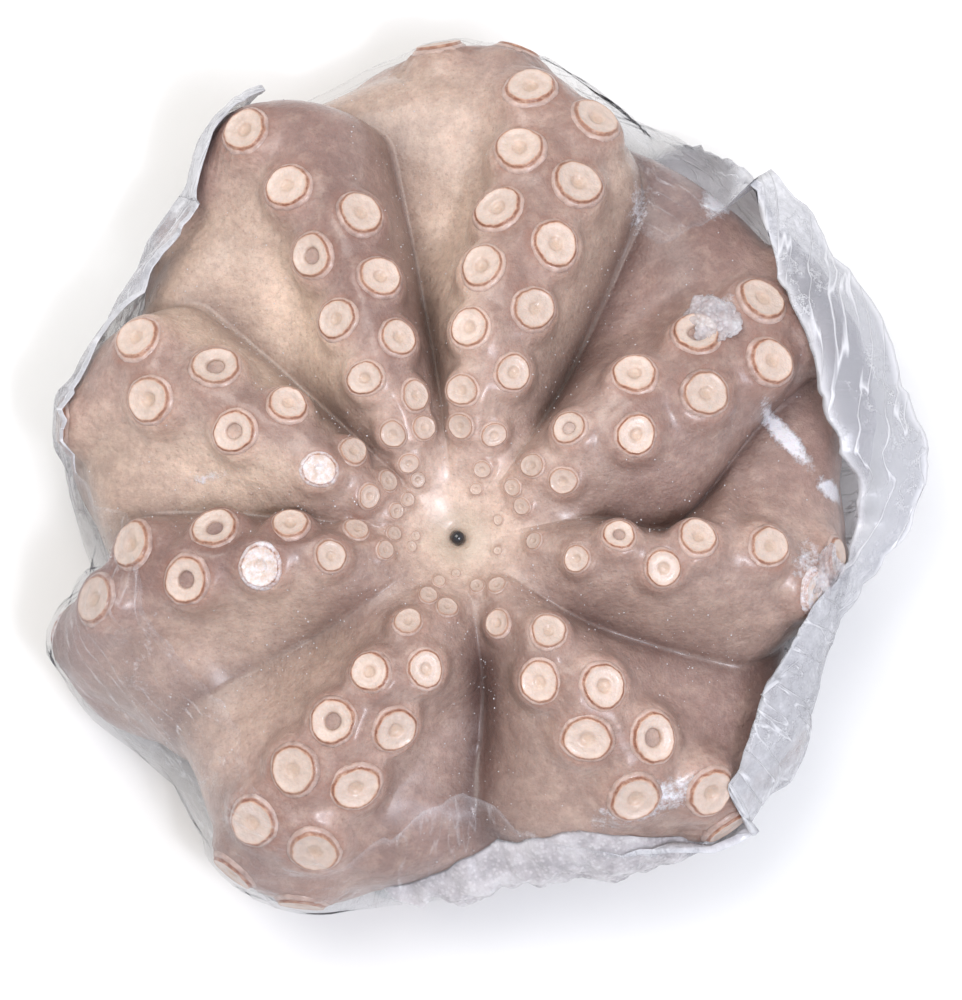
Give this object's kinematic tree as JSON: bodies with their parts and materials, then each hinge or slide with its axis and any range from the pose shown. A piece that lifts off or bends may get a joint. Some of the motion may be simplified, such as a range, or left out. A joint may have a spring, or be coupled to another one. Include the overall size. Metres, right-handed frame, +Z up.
{
  "type": "whole octopus",
  "caption": "Whole frozen octopus spread like a flower, mouth up, arms curled over the rim, in a clear film wrap.",
  "frame": {"origin": "on the flat face that the wrap rests on, under the middle of the body", "axes": "+Z up, out of the mouth; +Y towards the back arm; +X to the right of someone who looks at the mouth with the back arm up"},
  "size_m": [0.2915, 0.3061, 0.0878],
  "materials": {
    "octopus": "mauve and cream skin under a thin ice glaze",
    "beak": "glossy black horn",
    "wrap": "clear crinkled film, frosted in places"
  },
  "bodies": {
    "root": {"octopus": "octopus", "beak": "beak", "wrap": "wrap"}
  },
  "joints": []
}
